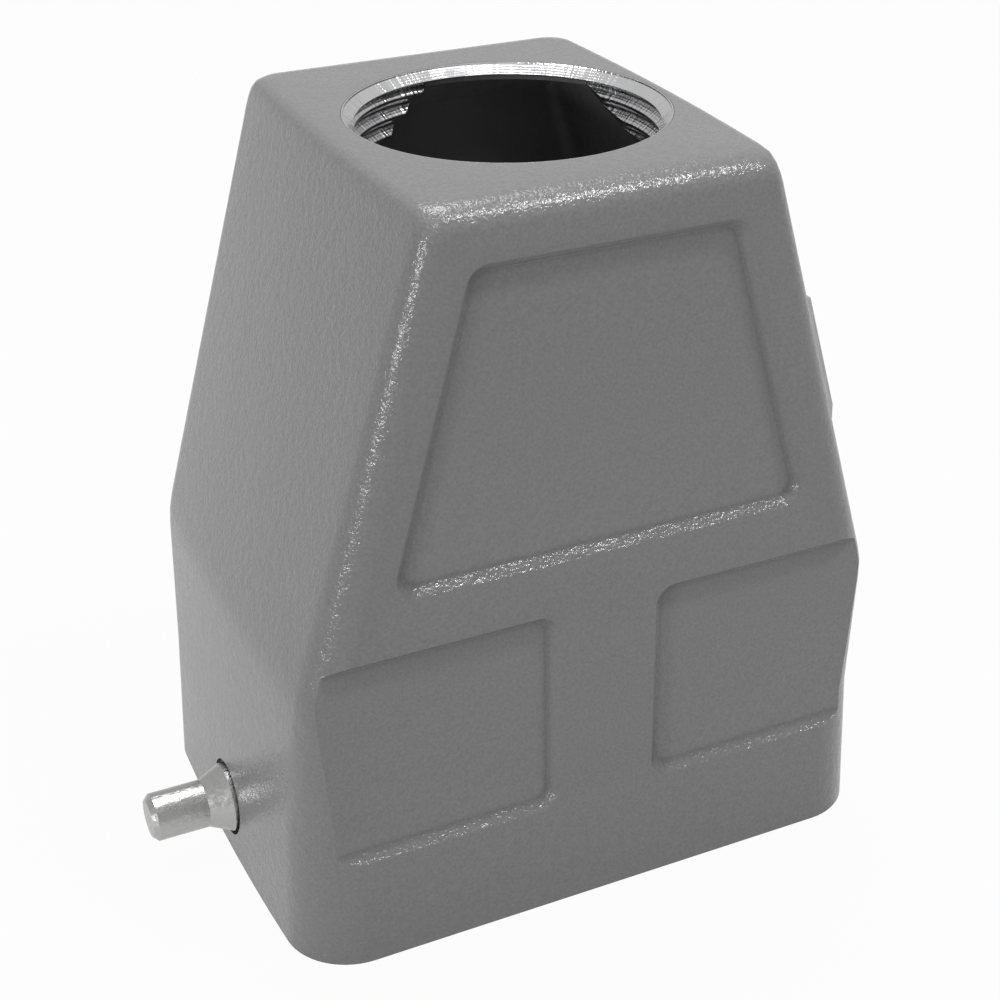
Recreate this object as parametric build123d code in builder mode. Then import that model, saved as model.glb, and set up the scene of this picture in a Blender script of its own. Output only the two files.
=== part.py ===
# Hood of a heavy duty rectangular connector: a cast shell with a threaded cable entry on top,
# an open rim below and a steel locking peg in each end. Millimetres, +Z up, X along the hood,
# origin in the middle of the open rim.
import math
import os

from build123d import *

os.makedirs("parts", exist_ok=True)

# Outer form of the shell
base_length = 60.8
base_width = 44.2
shell_height = 69.9
knee_height = 28.4
knee_length = 57.9
knee_width = 43.7
top_length = 32.8
top_width = 42.6
end_bow_radius = 300.0
base_corner = 6.4
straight_corner_height = 14.2
knee_corner_front = 3.5
knee_corner_back = 5.1
top_corner = 2.2
knee_blend = 1.5
knee_blend_steps = 2
top_side_round = 2.7
top_end_round = 0.9
top_round_steps = 5

# Hollow
wall = 3.0
roof = 1.6
roof_side_slope = 3.0
inner_corner_min = 1.2
left_shoulder_start = 1.4
left_shoulder_run = 1.2
right_shoulder_start = 12.6
right_shoulder_run = 0.56

# Screw bosses for the contact insert
insert_spacing_x = 44.0
insert_spacing_y = 27.0
insert_seat = 12.0
boss_radius = 4.2
screw_hole_radius = 1.65
screw_hole_depth = 10.0

# Threaded cable entry
entry_x = 0.8
thread_major_radius = 14.15
thread_minor_radius = 13.4
thread_depth = 13.0
entry_chamfer = 0.85

# Sunk fields on both long sides, measured at their outer edges
field_depth = 1.0
field_edge_angle = 50.0
field_edge_round = 0.25
field_corner = 2.2
upper_field_above_knee = 8.5
upper_field_below_top = 4.5
upper_field_low_margin = 5.8
upper_field_high_margin = 5.3
lower_field_bottom = 11.0
land_between_fields = 4.7
web_width = 9.3

# Raised pad on the right end
pad_proud = 0.55
pad_below_top = 14.2
pad_height = 10.2
pad_front = 18.6
pad_back = 17.0
pad_edge_angle = 45.0
pad_root = 2.0

# Locking pegs
peg_height = 5.6
peg_radius = 2.35
peg_reach = 7.9
peg_tip_chamfer = 0.5
peg_flange_radius = 3.4
peg_flange_rim = 0.7
peg_cone_length = 2.2
peg_spigot_radius = 1.6
peg_spigot_length = 1.8
peg_spigot_clearance = 0.02
spot_face_radius = 3.8
spot_face_depth = 0.3

knee_slope = (base_length - knee_length) / 2 / knee_height
upper_slope = (knee_length - top_length) / 2 / (shell_height - knee_height)
roof_height = shell_height - roof
upper_field_bottom = knee_height + upper_field_above_knee
upper_field_top = shell_height - upper_field_below_top
lower_field_top = upper_field_bottom - land_between_fields
pad_top = shell_height - pad_below_top
pad_bottom = pad_top - pad_height
seat_x = base_length / 2 - knee_slope * (peg_height + spot_face_radius) - spot_face_depth
peg_stand = base_length / 2 - knee_slope * peg_height + peg_reach - seat_x


def blend(z, stops):
    # Straight-line value at height z between (height, value) stops
    for (low, low_value), (high, high_value) in zip(stops[:-1], stops[1:]):
        if z <= high:
            return low_value + (high_value - low_value) * (z - low) / (high - low)
    return stops[-1][1]


def drawn_in(z, radius):
    # How far an edge round of the top has drawn in at height z
    rise = max(0.0, z - shell_height + radius)
    return radius - math.sqrt(radius**2 - rise**2)


def half_length(z):
    # Two drafts that meet in a soft knee, and the round of the top
    rise = z - knee_height
    sharp = knee_length / 2 - (upper_slope if rise > 0 else knee_slope) * rise
    reach = max(0.0, knee_blend - abs(rise))
    return sharp - (upper_slope - knee_slope) * reach**2 / (4 * knee_blend) - drawn_in(z, top_end_round)


def half_width(z):
    widths = [(0, base_width / 2), (knee_height, knee_width / 2), (shell_height, top_width / 2)]
    return blend(z, widths) - drawn_in(z, top_side_round)


def corner_radius(z, knee_corner):
    stops = [(0, base_corner), (straight_corner_height, base_corner)]
    stops += [(knee_height, knee_corner), (shell_height, top_corner)]
    return blend(z, stops)


def corner_points(half_x, half_y, radius, side):
    # Round corner between the bowed end at +X and the straight side at y = side * half_y
    bow_centre = half_x - end_bow_radius
    centre_y = half_y - radius
    centre_x = bow_centre + math.sqrt((end_bow_radius - radius) ** 2 - centre_y**2)
    tilt = math.asin(centre_y / (end_bow_radius - radius))
    middle = (tilt + math.pi / 2) / 2
    on_end = (centre_x + radius * math.cos(tilt), side * (centre_y + radius * math.sin(tilt)))
    on_arc = (centre_x + radius * math.cos(middle), side * (centre_y + radius * math.sin(middle)))
    on_side = (centre_x, side * half_y)
    return on_end, on_arc, on_side


def section(z, inset):
    # Level cut through the shell, drawn in by the inset all round
    half_x = half_length(z) - inset
    half_y = half_width(z) - inset
    front_radius = max(corner_radius(z, knee_corner_front) - inset, inner_corner_min)
    back_radius = max(corner_radius(z, knee_corner_back) - inset, inner_corner_min)
    front = corner_points(half_x, half_y, front_radius, -1)
    back = corner_points(half_x, half_y, back_radius, 1)
    with BuildSketch(Plane.XY.offset(z)) as cut:
        with BuildLine():
            for turn in (1, -1):
                first = [(turn * x, y) for x, y in front]
                second = [(turn * x, y) for x, y in back]
                ThreePointArc(first[2], first[1], first[0])
                ThreePointArc(first[0], (turn * half_x, 0), second[0])
                ThreePointArc(second[0], second[1], second[2])
            Line((-front[2][0], front[2][1]), front[2])
            Line((-back[2][0], back[2][1]), back[2])
        make_face()
    return cut.sketch


def taper_levels():
    # Heights at which the level cuts change their taper
    steps = [2 * step / knee_blend_steps - 1 for step in range(knee_blend_steps + 1)]
    return [0, straight_corner_height] + [knee_height + knee_blend * step for step in steps]


def round_levels():
    # Heights up the round of the top
    turns = [math.pi / 2 * step / top_round_steps for step in range(top_round_steps + 1)]
    return [shell_height - top_side_round * (1 - math.sin(turn)) for turn in turns]


def field_edge():
    # Steps (grown by, above the floor) of a field's edge: round at the floor, slope, round at the outside
    angle = math.radians(field_edge_angle)
    half_turn = (field_edge_round * math.sin(angle / 2), field_edge_round * (1 - math.cos(angle / 2)))
    full_turn = (field_edge_round * math.sin(angle), field_edge_round * (1 - math.cos(angle)))
    run = 2 * full_turn[0] + (field_depth - 2 * full_turn[1]) / math.tan(angle)
    inner = [(0, 0), half_turn, full_turn]
    outer = [(run - grown, field_depth - above) for grown, above in (full_turn, half_turn)]
    outer.append((run + half_turn[0], field_depth + half_turn[1]))
    return [(grown - run, above) for grown, above in inner + outer]


def field_steps(low, high, centre, low_half, high_half):
    # Outlines of one field of the front, from its floor outwards, on planes even with the drafted face
    middle = (low + high) / 2
    lean = half_width(low) - half_width(high)
    face = Plane((0, -half_width(middle), middle), x_dir=(1, 0, 0), z_dir=(0, low - high, lean))
    slant = (low_half - high_half) / (high - low)
    steps = []
    for grown, above in field_edge():
        reach = (high - low) / 2 + grown
        foot = low_half + grown * (math.hypot(1, slant) + slant)
        head = high_half + grown * (math.hypot(1, slant) - slant)
        with BuildSketch(face.offset(above - field_depth)) as step:
            with BuildLine():
                Polyline(
                    (centre - foot, -reach),
                    (centre + foot, -reach),
                    (centre + head, reach),
                    (centre - head, reach),
                    close=True,
                )
            make_face()
            fillet(step.vertices(), field_corner + grown)
        steps.append(step.sketch)
    return steps


# Hollow of the shell, as its own solid
with BuildPart() as hollow:
    hollow_levels = (0, straight_corner_height, knee_height, roof_height)
    loft(sections=[section(z, wall) for z in hollow_levels], ruled=True)
    left_low = roof_height - base_length / 2 / left_shoulder_run
    right_low = roof_height - base_length / 2 / right_shoulder_run
    with BuildSketch(Plane.XZ):
        with BuildLine():
            Polyline(
                (-base_length / 2 - left_shoulder_start, left_low),
                (-left_shoulder_start, roof_height),
                (right_shoulder_start, roof_height),
                (right_shoulder_start + base_length / 2, right_low),
                (right_shoulder_start + base_length / 2, 0),
                (-base_length / 2 - left_shoulder_start, 0),
                close=True,
            )
        make_face()
    extrude(amount=base_width / 2, both=True, mode=Mode.INTERSECT)
    inner_half = top_width / 2 - wall
    slope_foot = roof_height - roof_side_slope
    with BuildSketch(Plane.YZ):
        with BuildLine():
            Polyline(
                (-base_width / 2, 0),
                (base_width / 2, 0),
                (base_width / 2, slope_foot),
                (inner_half, slope_foot),
                (inner_half - roof_side_slope, roof_height),
                (-inner_half + roof_side_slope, roof_height),
                (-inner_half, slope_foot),
                (-base_width / 2, slope_foot),
                close=True,
            )
        make_face()
    extrude(amount=base_length, both=True, mode=Mode.INTERSECT)
    # What the four screw bosses fill
    with BuildSketch(Plane.XY.offset(insert_seat)) as bosses:
        boss_span_x = base_length / 2 - insert_spacing_x / 2 + boss_radius
        boss_span_y = base_width / 2 - insert_spacing_y / 2 + boss_radius
        with GridLocations(base_length - boss_span_x, base_width - boss_span_y, 2, 2):
            Rectangle(boss_span_x, boss_span_y)
        fillet(bosses.vertices().sort_by_distance((0, 0, 0))[:4], boss_radius)
    extrude(amount=shell_height, mode=Mode.SUBTRACT)

# Raised pad, the shell's form grown by the pad's height, with sloped edges
with BuildPart() as pad:
    loft(sections=[section(z, -pad_proud) for z in (knee_height + knee_blend, upper_field_top)], ruled=True)
    pad_middle = (pad_bottom + pad_top) / 2
    pad_face = (half_length(pad_middle) + pad_proud, 0, pad_middle)
    with BuildSketch(Plane(pad_face, x_dir=(0, 1, 0), z_dir=(-1, 0, -upper_slope))):
        with Locations(((pad_back - pad_front) / 2, 0)):
            Rectangle(pad_back + pad_front, pad_height)
    extrude(amount=pad_root, taper=-pad_edge_angle, mode=Mode.INTERSECT)

# What the sunk fields of the front take away: one above the knee, and one each side of the web below it
with BuildPart() as fields:
    upper_low_half = half_length(upper_field_bottom) - upper_field_low_margin
    upper_high_half = half_length(upper_field_top) - upper_field_high_margin
    upper_steps = field_steps(upper_field_bottom, upper_field_top, 0, upper_low_half, upper_high_half)
    loft(sections=upper_steps, ruled=True)
    lower_half = base_length / 4
    for side in (-1, 1):
        centre = side * (web_width / 2 + lower_half)
        lower_steps = field_steps(lower_field_bottom, lower_field_top, centre, lower_half, lower_half)
        loft(sections=lower_steps, ruled=True)

# Cast shell
with BuildPart() as hood:
    loft(sections=[section(z, 0) for z in taper_levels() + round_levels()], ruled=True)
    add(pad.part)
    add(hollow.part, mode=Mode.SUBTRACT)
    add(fields.part, mode=Mode.SUBTRACT)
    mirror(fields.part, about=Plane.XZ, mode=Mode.SUBTRACT)
    # Cable entry: the first turn all round in the roof, and the thread's wall in the shoulders below it
    with BuildSketch(Plane.XY.offset(shell_height)):
        with Locations((entry_x, 0)):
            Circle(thread_minor_radius)
    extrude(amount=-roof, mode=Mode.SUBTRACT)
    rim = hood.faces().sort_by(Axis.Z)[-1].edges().filter_by(lambda edge: edge.is_closed)
    chamfer(rim, entry_chamfer)
    with BuildSketch(Plane.XY.offset(roof_height)):
        with Locations((entry_x, 0)):
            Circle(thread_major_radius)
    extrude(amount=roof - thread_depth, mode=Mode.SUBTRACT)
    # Holes for the insert's screws
    with BuildSketch(Plane.XY.offset(insert_seat)):
        with GridLocations(insert_spacing_x, insert_spacing_y, 2, 2):
            Circle(screw_hole_radius)
    extrude(amount=screw_hole_depth, mode=Mode.SUBTRACT)
    # Flat seats and holes for the pegs
    for end in (Plane.YZ, Plane.YZ.rotated((0, 0, 180))):
        with BuildSketch(end.offset(seat_x)):
            with Locations((0, peg_height)):
                Circle(spot_face_radius)
        extrude(amount=wall, mode=Mode.SUBTRACT)
        with BuildSketch(end.offset(seat_x)):
            with Locations((0, peg_height)):
                Circle(peg_spigot_radius + peg_spigot_clearance)
        extrude(amount=-peg_spigot_length - peg_spigot_clearance, mode=Mode.SUBTRACT)
hood.part.label = "hood"
export_step(hood.part, "parts/hood.step")

# Locking peg, turned about its own axis: spigot, flange, cone and pin
with BuildPart() as peg:
    with BuildSketch(Plane.XZ):
        with BuildLine():
            Polyline(
                (-peg_spigot_length, 0),
                (-peg_spigot_length, peg_spigot_radius),
                (0, peg_spigot_radius),
                (0, peg_flange_radius),
                (peg_flange_rim, peg_flange_radius),
                (peg_flange_rim + peg_cone_length, peg_radius),
                (peg_stand - peg_tip_chamfer, peg_radius),
                (peg_stand, peg_radius - peg_tip_chamfer),
                (peg_stand, 0),
                close=True,
            )
        make_face()
    revolve(axis=Axis.X)

for name, seat in (
    ("locking_peg_left", Location((-seat_x, 0, peg_height), (0, 0, 180))),
    ("locking_peg_right", Location((seat_x, 0, peg_height))),
):
    placed = peg.part.moved(seat)
    placed.label = name
    export_step(placed, f"parts/{name}.step")
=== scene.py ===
# Hood of a heavy duty rectangular connector: its coat, bare metal, light and camera
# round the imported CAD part. Metres, +Z up, the same frame as the part.
import math

import bmesh
import bpy
from mathutils import Matrix, Vector


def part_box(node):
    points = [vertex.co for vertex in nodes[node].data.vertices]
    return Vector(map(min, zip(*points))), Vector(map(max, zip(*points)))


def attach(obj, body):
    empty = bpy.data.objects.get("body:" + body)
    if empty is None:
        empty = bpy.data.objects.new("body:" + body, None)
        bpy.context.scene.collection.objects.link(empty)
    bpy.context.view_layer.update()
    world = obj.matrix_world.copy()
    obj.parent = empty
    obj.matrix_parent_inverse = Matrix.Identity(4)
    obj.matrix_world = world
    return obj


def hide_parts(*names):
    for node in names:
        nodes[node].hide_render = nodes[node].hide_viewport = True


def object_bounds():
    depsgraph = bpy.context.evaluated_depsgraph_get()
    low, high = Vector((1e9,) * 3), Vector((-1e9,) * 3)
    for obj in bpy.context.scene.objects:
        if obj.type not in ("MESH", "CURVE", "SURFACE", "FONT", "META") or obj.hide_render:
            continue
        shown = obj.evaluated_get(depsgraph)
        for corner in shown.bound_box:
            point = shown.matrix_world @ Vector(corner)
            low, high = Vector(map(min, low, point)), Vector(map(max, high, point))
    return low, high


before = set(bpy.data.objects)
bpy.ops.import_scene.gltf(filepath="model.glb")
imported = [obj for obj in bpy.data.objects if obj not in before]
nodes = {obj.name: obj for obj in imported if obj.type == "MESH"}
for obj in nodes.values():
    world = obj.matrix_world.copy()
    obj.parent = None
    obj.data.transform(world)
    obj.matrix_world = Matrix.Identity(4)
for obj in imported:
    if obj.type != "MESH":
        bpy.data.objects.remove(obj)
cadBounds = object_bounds()
mm = 0.001
print("frame loaded:", len(nodes), "nodes")


# Shared helpers

noiseLow, noiseHigh = 0.3, 0.7  # most of a noise lies between these
fineDetail = 3.0  # octaves of the finer noises


def newMaterial(name):
    # A node material with only its output and its shader
    material = bpy.data.materials.new(name)
    material.use_nodes = True
    tree = material.node_tree
    tree.nodes.clear()
    output = tree.nodes.new("ShaderNodeOutputMaterial")
    shader = tree.nodes.new("ShaderNodeBsdfPrincipled")
    tree.links.new(shader.outputs["BSDF"], output.inputs["Surface"])
    return material, tree, shader


def addNode(tree, kind, **values):
    # Each value goes to the input of that name, or else to the node's own setting
    node = tree.nodes.new(kind)
    for key, value in values.items():
        if key in node.inputs:
            node.inputs[key].default_value = value
        else:
            setattr(node, key, value)
    return node


def noiseAt(tree, scale, detail=fineDetail, rough=0.5):
    # Noise on the object's own coordinates, scale in waves per metre
    place = addNode(tree, "ShaderNodeTexCoord")
    noise = addNode(tree, "ShaderNodeTexNoise", Scale=scale, Detail=detail, Roughness=rough)
    tree.links.new(place.outputs["Object"], noise.inputs["Vector"])
    return noise


def ranged(tree, socket, low, high, fromLow=noiseLow, fromHigh=noiseHigh):
    spread = addNode(tree, "ShaderNodeMapRange")
    spread.inputs["From Min"].default_value = fromLow
    spread.inputs["From Max"].default_value = fromHigh
    spread.inputs["To Min"].default_value = low
    spread.inputs["To Max"].default_value = high
    tree.links.new(socket, spread.inputs["Value"])
    return spread.outputs["Result"]


def bumped(tree, socket, distance, before=None):
    bump = addNode(tree, "ShaderNodeBump", Strength=1.0, Distance=distance)
    tree.links.new(socket, bump.inputs["Height"])
    if before is not None:
        tree.links.new(before, bump.inputs["Normal"])
    return bump.outputs["Normal"]


def tinted(tree, socket, dark, light):
    ramp = addNode(tree, "ShaderNodeValToRGB")
    first, last = ramp.color_ramp.elements
    first.position, last.position = noiseLow, noiseHigh
    first.color, last.color = (*dark, 1), (*light, 1)
    tree.links.new(socket, ramp.inputs["Fac"])
    return ramp.outputs["Color"]


def meshObject(bm, name, *materials):
    # Turns a bmesh into an object at the origin
    mesh = bpy.data.meshes.new(name)
    bm.to_mesh(mesh)
    bm.free()
    for material in materials:
        mesh.materials.append(material)
    obj = bpy.data.objects.new(name, mesh)
    bpy.context.scene.collection.objects.link(obj)
    return obj


# Powder coat of the casting

coat = {
    "dark": (0.192, 0.192, 0.192),
    "light": (0.232, 0.232, 0.232),
    "roughLow": 0.12,
    "roughHigh": 0.22,
    "peelWaves": 1150,  # soft orange peel
    "peelDetail": 1.5,
    "peelRough": 0.45,
    "peelHeight": 0.07 * mm,
    "grainWaves": 3600,  # fine grain on top of it
    "grainDetail": 2.0,
    "grainHeight": 0.062 * mm,
    "paintedShadeReach": 0.9 * mm,  # how far from a wall the painted shade reaches
    "paintedShadeRays": 8,
    "paintedShadeOpen": 0.82,  # open share of the sky at which the shade is full
    "paintedShadeDarkest": 0.56,
}


def makeCoat():
    material, tree, shader = newMaterial("powderCoat")
    peel = noiseAt(tree, coat["peelWaves"], coat["peelDetail"], coat["peelRough"])
    grain = noiseAt(tree, coat["grainWaves"], coat["grainDetail"])
    tone = tinted(tree, grain.outputs["Fac"], coat["dark"], coat["light"])
    rough = ranged(tree, grain.outputs["Fac"], coat["roughLow"], coat["roughHigh"])
    low = bumped(tree, peel.outputs["Fac"], coat["peelHeight"])
    fine = bumped(tree, grain.outputs["Fac"], coat["grainHeight"], low)
    # Painted shade: ambient occlusion darkens the coat's colour at the foot of the fields' edges
    paintedShadeNode = addNode(tree, "ShaderNodeAmbientOcclusion", samples=coat["paintedShadeRays"], only_local=True)
    paintedShadeNode.inputs["Distance"].default_value = coat["paintedShadeReach"]
    shade = ranged(tree, paintedShadeNode.outputs["AO"], coat["paintedShadeDarkest"], 1.0, coat["paintedShadeOpen"], 1.0)
    coatWithPaintedShade = addNode(tree, "ShaderNodeVectorMath", operation="SCALE")
    tree.links.new(tone, coatWithPaintedShade.inputs[0])
    tree.links.new(shade, coatWithPaintedShade.inputs["Scale"])
    tree.links.new(coatWithPaintedShade.outputs["Vector"], shader.inputs["Base Color"])
    tree.links.new(rough, shader.inputs["Roughness"])
    tree.links.new(fine, shader.inputs["Normal"])
    return material


# Hollow: a dark colour painted as shade for its unlit inside, on a bumped cast skin

hollow = {
    # dark painted shade for the unlit inside of the hollow
    "colour": (0.115, 0.115, 0.115),
    "roughLow": 0.5,
    "roughHigh": 0.7,
    "skinWaves": 700,
    "skinHeight": 0.15 * mm,
}


def makeInside():
    material, tree, shader = newMaterial("paintedShadeInside")
    skin = noiseAt(tree, hollow["skinWaves"])
    rough = ranged(tree, skin.outputs["Fac"], hollow["roughLow"], hollow["roughHigh"])
    normal = bumped(tree, skin.outputs["Fac"], hollow["skinHeight"])
    shader.inputs["Base Color"].default_value = (*hollow["colour"], 1)
    tree.links.new(rough, shader.inputs["Roughness"])
    tree.links.new(normal, shader.inputs["Normal"])
    return material


# Turned bare aluminium of the entry

entry = {
    "centreX": 0.8 * mm,
    "lipRadius": 14.43 * mm,  # hole in the top face of the casting
    "majorRadius": 14.15 * mm,  # root of the thread
    "minorRadius": 13.38 * mm,  # crest of the thread
    "roofDepth": 1.6 * mm,
    "steps": 128,
    "weldGap": 0.0005 * mm,
}

bareFinish = {
    "metal": (0.76, 0.76, 0.77),
    "roughLow": 0.12,
    "roughHigh": 0.26,
    "ringWaves": 1400,  # marks of the turning tool
    "ringWobble": 1.5,
    "ringHeight": 0.006 * mm,
    "streakWaves": 38,  # per radian round the entry
    "streakHeight": 0.07 * mm,
    "smearWaves": 420,
    "smearHeight": 0.04 * mm,
}


def makeBareMetal():
    material, tree, shader = newMaterial("turnedAluminium")
    place = addNode(tree, "ShaderNodeTexCoord")
    centre = addNode(tree, "ShaderNodeMapping")
    centre.inputs["Location"].default_value = (-entry["centreX"], 0, 0)
    tree.links.new(place.outputs["Object"], centre.inputs["Vector"])
    rings = addNode(tree, "ShaderNodeTexWave", wave_type="RINGS", rings_direction="Z")
    rings.inputs["Scale"].default_value = bareFinish["ringWaves"]
    rings.inputs["Distortion"].default_value = bareFinish["ringWobble"]
    tree.links.new(centre.outputs["Vector"], rings.inputs["Vector"])
    # Tool chatter, as lines across the turned faces
    parts = addNode(tree, "ShaderNodeSeparateXYZ")
    angle = addNode(tree, "ShaderNodeMath", operation="ARCTAN2")
    chatter = addNode(tree, "ShaderNodeTexNoise", noise_dimensions="1D", Detail=fineDetail)
    chatter.inputs["Scale"].default_value = bareFinish["streakWaves"]
    tree.links.new(centre.outputs["Vector"], parts.inputs["Vector"])
    tree.links.new(parts.outputs["Y"], angle.inputs[0])
    tree.links.new(parts.outputs["X"], angle.inputs[1])
    tree.links.new(angle.outputs["Value"], chatter.inputs["W"])
    smear = noiseAt(tree, bareFinish["smearWaves"])
    rough = ranged(tree, smear.outputs["Fac"], bareFinish["roughLow"], bareFinish["roughHigh"])
    marks = bumped(tree, rings.outputs["Fac"], bareFinish["ringHeight"])
    lines = bumped(tree, chatter.outputs["Fac"], bareFinish["streakHeight"], marks)
    dents = bumped(tree, smear.outputs["Fac"], bareFinish["smearHeight"], lines)
    shader.inputs["Base Color"].default_value = (*bareFinish["metal"], 1)
    shader.inputs["Metallic"].default_value = 1.0
    tree.links.new(rough, shader.inputs["Roughness"])
    tree.links.new(dents, shader.inputs["Normal"])
    return material


# Steel of the pegs

peg = {
    "metal": (0.47, 0.47, 0.465),
    "roughLow": 0.2,
    "roughHigh": 0.42,
    "lapStretch": 0.6,  # below 1 draws the marks out along the peg
    "lapWaves": 2600,
    "lapHeight": 0.05 * mm,
}


def makePegSteel():
    material, tree, shader = newMaterial("pegSteel")
    place = addNode(tree, "ShaderNodeTexCoord")
    stretch = addNode(tree, "ShaderNodeMapping")
    stretch.inputs["Scale"].default_value = (peg["lapStretch"], 1, 1)
    tree.links.new(place.outputs["Object"], stretch.inputs["Vector"])
    lap = addNode(tree, "ShaderNodeTexNoise", Scale=peg["lapWaves"], Detail=fineDetail)
    tree.links.new(stretch.outputs["Vector"], lap.inputs["Vector"])
    rough = ranged(tree, lap.outputs["Fac"], peg["roughLow"], peg["roughHigh"])
    normal = bumped(tree, lap.outputs["Fac"], peg["lapHeight"])
    shader.inputs["Base Color"].default_value = (*peg["metal"], 1)
    shader.inputs["Metallic"].default_value = 1.0
    tree.links.new(rough, shader.inputs["Roughness"])
    tree.links.new(normal, shader.inputs["Normal"])
    return material


def dress(obj, material):
    obj.data.materials.clear()
    obj.data.materials.append(material)


coatMaterial = makeCoat()
shadeInsideMaterial = makeInside()
bareMetal = makeBareMetal()
pegSteel = makePegSteel()
for name in ("locking_peg_left", "locking_peg_right"):
    dress(nodes[name], pegSteel)
print("materials ready")


# The casting, as a welded copy of its node with its hollow in painted shade and room for the
# ring

hoodForm = {
    # (height, half size) at the rim, the knee and the top
    "halfLengths": ((0.0, 30.4 * mm), (28.4 * mm, 28.95 * mm), (69.9 * mm, 16.4 * mm)),
    "halfWidths": ((0.0, 22.1 * mm), (28.4 * mm, 21.85 * mm), (69.9 * mm, 21.3 * mm)),
    "innerMargin": 2.2 * mm,  # faces deeper in than this are the hollow's
    "mouthMargin": 0.1 * mm,
    "roofMargin": 0.86 * mm,
    "depthSlack": 0.01 * mm,  # to find the bore's lower edge
    "boreSlack": 0.1 * mm,
    "weldGap": 0.001 * mm,
    "creaseAngle": 32,
}


def halfAt(height, stops):
    # Half size of the shell at a height, straight between the stops
    for (low, lowHalf), (high, highHalf) in zip(stops[:-1], stops[1:]):
        if height <= high:
            return lowHalf + (highHalf - lowHalf) * (height - low) / (high - low)
    return stops[-1][1]


def isInside(centre, top):
    margin = hoodForm["innerMargin"]
    return (
        hoodForm["mouthMargin"] < centre.z < top - hoodForm["roofMargin"]
        and abs(centre.x) < halfAt(centre.z, hoodForm["halfLengths"]) - margin
        and abs(centre.y) < halfAt(centre.z, hoodForm["halfWidths"]) - margin
    )


def makeCasting(top):
    bm = bmesh.new()
    bm.from_mesh(nodes["hood"].data)
    bmesh.ops.remove_doubles(bm, verts=bm.verts, dist=hoodForm["weldGap"])
    centre = Vector((entry["centreX"], 0, 0))
    boreDepth = entry["roofDepth"] + hoodForm["depthSlack"]
    boreReach = entry["minorRadius"] + hoodForm["boreSlack"]
    for vert in bm.verts:
        # The bore's edges give way to the lip at the top and to the thread below it
        out = Vector((vert.co.x, vert.co.y, 0)) - centre
        depth = top - vert.co.z
        if depth < hoodForm["weldGap"] and out.length < entry["lipRadius"]:
            radius = entry["lipRadius"]
        elif depth < boreDepth and out.length < boreReach:
            radius = entry["majorRadius"]
        else:
            continue
        out *= radius / out.length
        vert.co = Vector((centre.x + out.x, out.y, vert.co.z))
    bmesh.ops.dissolve_degenerate(bm, dist=hoodForm["weldGap"], edges=bm.edges)
    # Faces deep inside take the hollow's dark colour, which is painted shade for the unlit
    # inside
    for face in bm.faces:
        face.smooth = True
        face.material_index = 1 if isInside(face.calc_center_median(), top) else 0
    crease = math.radians(hoodForm["creaseAngle"])
    for edge in bm.edges:
        edge.smooth = edge.is_manifold and edge.calc_face_angle() < crease
    casting = meshObject(bm, "casting", coatMaterial, shadeInsideMaterial)
    # The node's own normals no longer fit the welded mesh
    attributes = casting.data.attributes
    for attribute in ("custom_normal", "sharp_face"):
        if attribute in attributes:
            attributes.remove(attributes[attribute])
    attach(casting, "root")
    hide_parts("hood")
    return casting


# Entry ring and thread, both turned round the entry's axis

def finishPiece(bm, name, material):
    # Welds, turns the faces outwards and hands the piece to the frame
    bmesh.ops.remove_doubles(bm, verts=bm.verts, dist=entry["weldGap"])
    bmesh.ops.recalc_face_normals(bm, faces=bm.faces)
    piece = meshObject(bm, name, material)
    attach(piece, "root")
    return piece


def outlineFace(bm, points):
    # Closed profile in the XZ plane from (radius, height) points
    verts = [bm.verts.new((entry["centreX"] + radius, 0, height)) for radius, height in points]
    return bm.faces.new(verts)


def spinRound(bm, rise=0.0, merge=True):
    bmesh.ops.spin(
        bm,
        geom=bm.verts[:] + bm.edges[:] + bm.faces[:],
        cent=(entry["centreX"], 0, 0),
        axis=(0, 0, 1),
        dvec=(0, 0, rise / entry["steps"]),
        angle=2 * math.pi,
        steps=entry["steps"],
        use_merge=merge,
        use_duplicate=False,
    )


ring = {
    "lipDepth": 0.03 * mm,
    "lipGap": 0.05 * mm,  # dark line between the coat and the ring
    "rimRadius": 14.27 * mm,
    "stepDepth": 0.17 * mm,
    "stepInset": 0.02 * mm,
    "slopeDepth": 0.88 * mm,
    "footHeight": 0.05 * mm,
    "undercutDepth": 1.35 * mm,
    "undercutReach": 0.1 * mm,
}


def makeEntryRing(top):
    bm = bmesh.new()
    outerRadius = entry["lipRadius"] - ring["lipGap"]
    slopeEnd = top - ring["slopeDepth"]
    face = outlineFace(bm, [
        (outerRadius, top - ring["lipDepth"] / 2),
        (ring["rimRadius"], top - ring["lipDepth"]),
        (ring["rimRadius"] - ring["stepInset"], top - ring["stepDepth"]),
        (entry["minorRadius"], slopeEnd),
        (entry["minorRadius"], slopeEnd - ring["footHeight"]),
        (entry["majorRadius"] + ring["undercutReach"], top - ring["undercutDepth"]),
        (outerRadius, top - ring["slopeDepth"] / 2),
    ])
    # Only the outline is turned, so that no faces are left inside the ring
    bmesh.ops.delete(bm, geom=[face], context="FACES_ONLY")
    spinRound(bm)
    return finishPiece(bm, "entry_ring", bareMetal)


thread = {
    "pitch": 25.4 / 16 * mm,
    "turns": 6,
    "topDepth": 0.92 * mm,
    "firstTooth": 0.47 * mm,
    "rootInset": 0.05 * mm,
    # Ends of the root, the flank, the crest and the tooth, as shares of the pitch
    "rootEnd": 0.12,
    "flankEnd": 0.46,
    "crestEnd": 0.62,
    "toothEnd": 0.96,
    # Where each shoulder starts in the roof, and how far it runs out per metre down
    "leftStart": -1.4 * mm,
    "leftRun": 1.2,
    "rightStart": 12.6 * mm,
    "rightRun": 0.56,
}


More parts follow.
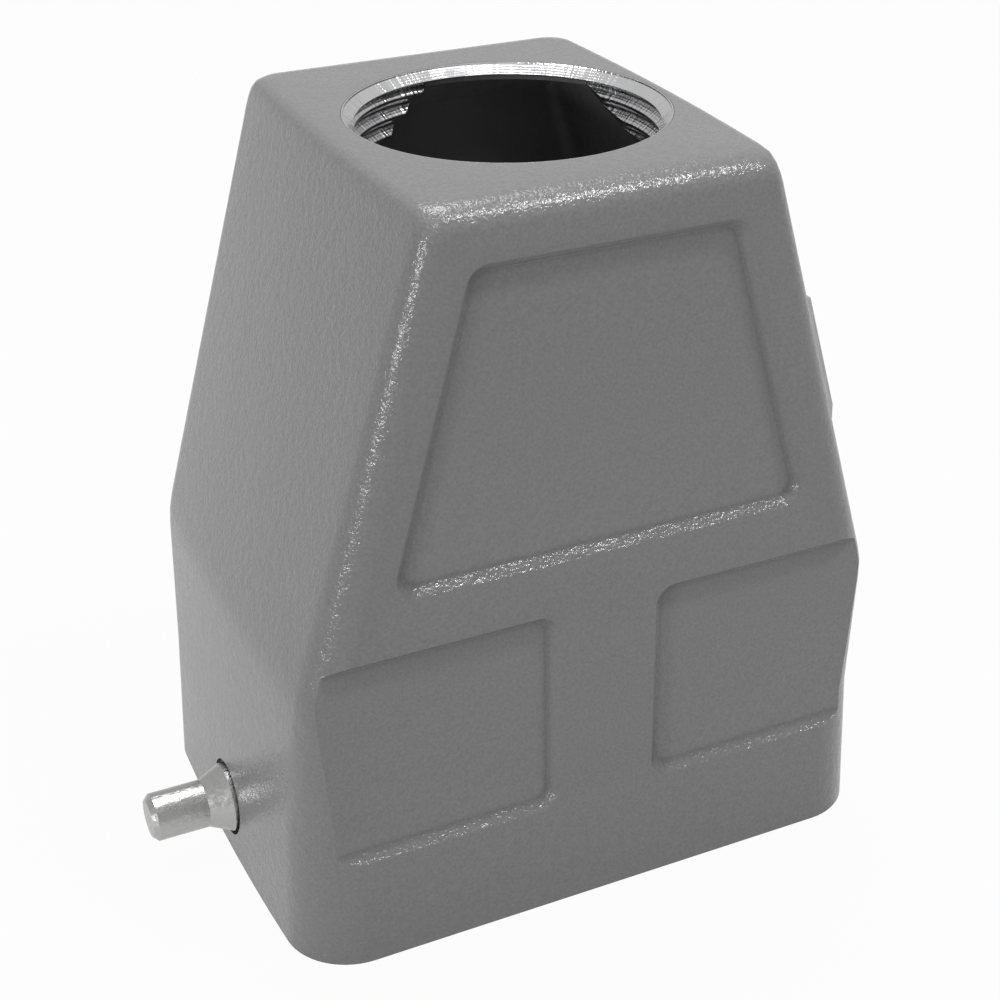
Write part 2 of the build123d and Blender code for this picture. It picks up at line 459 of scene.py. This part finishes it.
def makeThreadSide(top, side):
    # Helical teeth on one side of the bore, down to where the shoulder ends the wall
    bm = bmesh.new()
    pitch = thread["pitch"]
    root = entry["majorRadius"] - thread["rootInset"]
    base = top - thread["firstTooth"] - thread["turns"] * pitch
    teeth = []
    for turn in range(thread["turns"] + 1):
        low = base + turn * pitch
        teeth += [
            (root, low),
            (root, low + thread["rootEnd"] * pitch),
            (entry["minorRadius"], low + thread["flankEnd"] * pitch),
            (entry["minorRadius"], low + thread["crestEnd"] * pitch),
        ]
    end = low + thread["toothEnd"] * pitch
    teeth += [(root, end), (entry["majorRadius"], end), (entry["majorRadius"], base)]
    outlineFace(bm, teeth)
    # The turn starts at the front, where the shoulders cut its ends away
    quarter = Matrix.Rotation(-math.pi / 2, 3, "Z")
    bmesh.ops.rotate(bm, verts=bm.verts, cent=(entry["centreX"], 0, 0), matrix=quarter)
    spinRound(bm, rise=pitch, merge=False)
    label = "left" if side < 0 else "right"
    shoulder = Vector((-side, 0, -thread[label + "Run"])).normalized()
    cuts = [
        ((thread[label + "Start"], 0, top - entry["roofDepth"]), shoulder),
        ((0, 0, top - thread["topDepth"]), Vector((0, 0, 1))),
    ]
    for point, outward in cuts:
        cut = bmesh.ops.bisect_plane(
            bm,
            geom=bm.verts[:] + bm.edges[:] + bm.faces[:],
            plane_co=point,
            plane_no=outward,
            clear_outer=True,
        )
        edges = [item for item in cut["geom_cut"] if isinstance(item, bmesh.types.BMEdge)]
        bmesh.ops.holes_fill(bm, edges=edges)
    return finishPiece(bm, "entry_thread_" + label, bareMetal)


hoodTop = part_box("hood")[1][2]
casting = makeCasting(hoodTop)
entryRing = makeEntryRing(hoodTop)
threadSides = [makeThreadSide(hoodTop, side) for side in (-1, 1)]
for piece in [casting, entryRing] + threadSides:
    print(piece.name, len(piece.data.polygons), "faces")


# Floor

floorLook = {
    "halfSize": 4.0,
    "colour": (0.5, 0.5, 0.5),
    "rough": 0.9,
    "gloss": 0.1,
    "seen": 0.96,  # share of plain white that the camera sees, the rest is lit floor
    "mirrored": 0.74,  # the same share in reflections
}


def makeFloor(height):
    bm = bmesh.new()
    bmesh.ops.create_grid(bm, x_segments=1, y_segments=1, size=floorLook["halfSize"])
    bmesh.ops.translate(bm, verts=bm.verts, vec=(0, 0, height))
    material, tree, shader = newMaterial("paleFloor")
    shader.inputs["Base Color"].default_value = (*floorLook["colour"], 1)
    shader.inputs["Roughness"].default_value = floorLook["rough"]
    shader.inputs["Specular IOR Level"].default_value = floorLook["gloss"]
    path = addNode(tree, "ShaderNodeLightPath")
    glow = addNode(tree, "ShaderNodeEmission", Color=(1, 1, 1, 1), Strength=1.0)
    mirrored = addNode(tree, "ShaderNodeMath", operation="MULTIPLY")
    mirrored.inputs[1].default_value = floorLook["mirrored"]
    share = addNode(tree, "ShaderNodeMath", operation="MULTIPLY_ADD")
    share.inputs[1].default_value = floorLook["seen"]
    mix = addNode(tree, "ShaderNodeMixShader")
    output = next(node for node in tree.nodes if node.type == "OUTPUT_MATERIAL")
    tree.links.new(path.outputs["Is Glossy Ray"], mirrored.inputs[0])
    tree.links.new(path.outputs["Is Camera Ray"], share.inputs[0])
    tree.links.new(mirrored.outputs[0], share.inputs[2])
    tree.links.new(share.outputs[0], mix.inputs["Fac"])
    tree.links.new(shader.outputs["BSDF"], mix.inputs[1])
    tree.links.new(glow.outputs["Emission"], mix.inputs[2])
    tree.links.new(mix.outputs["Shader"], output.inputs["Surface"])
    floor = meshObject(bm, "floor", material)


# World and lamps

worldLook = {
    "level": 0.35,
    "shine": 0.6,  # what reflections see
}


def plainSky(tree, strength):
    return addNode(tree, "ShaderNodeBackground", Color=(1, 1, 1, 1), Strength=strength)


def makeWorld():
    world = bpy.data.worlds.new("studioWorld")
    world.use_nodes = True
    tree = world.node_tree
    tree.nodes.clear()
    output = addNode(tree, "ShaderNodeOutputWorld")
    soft = plainSky(tree, worldLook["level"])
    shine = plainSky(tree, worldLook["shine"])
    white = plainSky(tree, 1.0)
    path = addNode(tree, "ShaderNodeLightPath")
    mirrored = addNode(tree, "ShaderNodeMixShader")
    mix = addNode(tree, "ShaderNodeMixShader")
    tree.links.new(path.outputs["Is Glossy Ray"], mirrored.inputs["Fac"])
    tree.links.new(soft.outputs["Background"], mirrored.inputs[1])
    tree.links.new(shine.outputs["Background"], mirrored.inputs[2])
    tree.links.new(path.outputs["Is Camera Ray"], mix.inputs["Fac"])
    tree.links.new(mirrored.outputs["Shader"], mix.inputs[1])
    tree.links.new(white.outputs["Background"], mix.inputs[2])
    tree.links.new(mix.outputs["Shader"], output.inputs["Surface"])
    bpy.context.scene.world = world


# The side lamp lights the left end and the top lamp the top. The two small ones make
# the glints along the rounded edges.
lamps = {
    "sideLamp": {"place": (-0.61, -0.27, 0.13), "size": (0.12, 0.12), "watts": 1.2},
    "topLamp": {"place": (0.06, 0.2, 0.7), "size": (0.3, 0.3), "watts": 2.6},
    "sparkLamp": {"place": (0.27, -0.22, 0.66), "size": (0.09, 0.07), "watts": 1.7},
    "crossLamp": {"place": (-0.21, -0.28, 0.62), "size": (0.12, 0.08), "watts": 0.35},
}
lampAim = Vector((0, 0, 0.035))


def makeLamp(name, settings):
    data = bpy.data.lights.new(name, "AREA")
    data.shape = "RECTANGLE"
    data.size, data.size_y = settings["size"]
    data.energy = settings["watts"]
    lamp = bpy.data.objects.new(name, data)
    lamp.location = settings["place"]
    aim = lampAim - Vector(settings["place"])
    lamp.rotation_euler = aim.to_track_quat("-Z", "Y").to_euler()
    bpy.context.scene.collection.objects.link(lamp)


# Camera at the photo's angle

cameraView = {
    "turn": 25.79,  # degrees round to the left end
    "tilt": 30.57,
    "roll": -0.14,
    "aside": 2.873 * mm,
    "aimHeight": 25.136 * mm,
    "distance": 185.43 * mm,
    "nearest": 5 * mm,
    "sensor": 36,
    "lens": 67.77,
    "shiftX": -0.0334,
    "shiftY": 0.0555,
}


def placeCamera():
    turn, tilt, roll = (math.radians(cameraView[key]) for key in ("turn", "tilt", "roll"))
    back = Vector((
        -math.sin(turn) * math.cos(tilt),
        -math.cos(turn) * math.cos(tilt),
        math.sin(tilt),
    ))
    right = Vector((math.cos(turn), -math.sin(turn), 0))
    up = back.cross(right)
    sideways = right * math.cos(roll) + up * math.sin(roll)
    upwards = up * math.cos(roll) - right * math.sin(roll)
    data = bpy.data.cameras.new("photoCamera")
    data.lens = cameraView["lens"]
    data.sensor_width = cameraView["sensor"]
    data.shift_x = cameraView["shiftX"]
    data.shift_y = cameraView["shiftY"]
    data.clip_start = cameraView["nearest"]
    camera = bpy.data.objects.new("photoCamera", data)
    aim = Vector((0, 0, cameraView["aimHeight"])) + right * cameraView["aside"]
    spot = aim + back * cameraView["distance"]
    turned = Matrix((sideways, upwards, back)).transposed().to_4x4()
    camera.matrix_world = Matrix.Translation(spot) @ turned
    bpy.context.scene.collection.objects.link(camera)
    bpy.context.scene.camera = camera


makeFloor(cadBounds[0][2])
makeWorld()
for lampName, settings in lamps.items():
    makeLamp(lampName, settings)
placeCamera()
bpy.context.scene.view_settings.view_transform = "Standard"
print("studio ready")
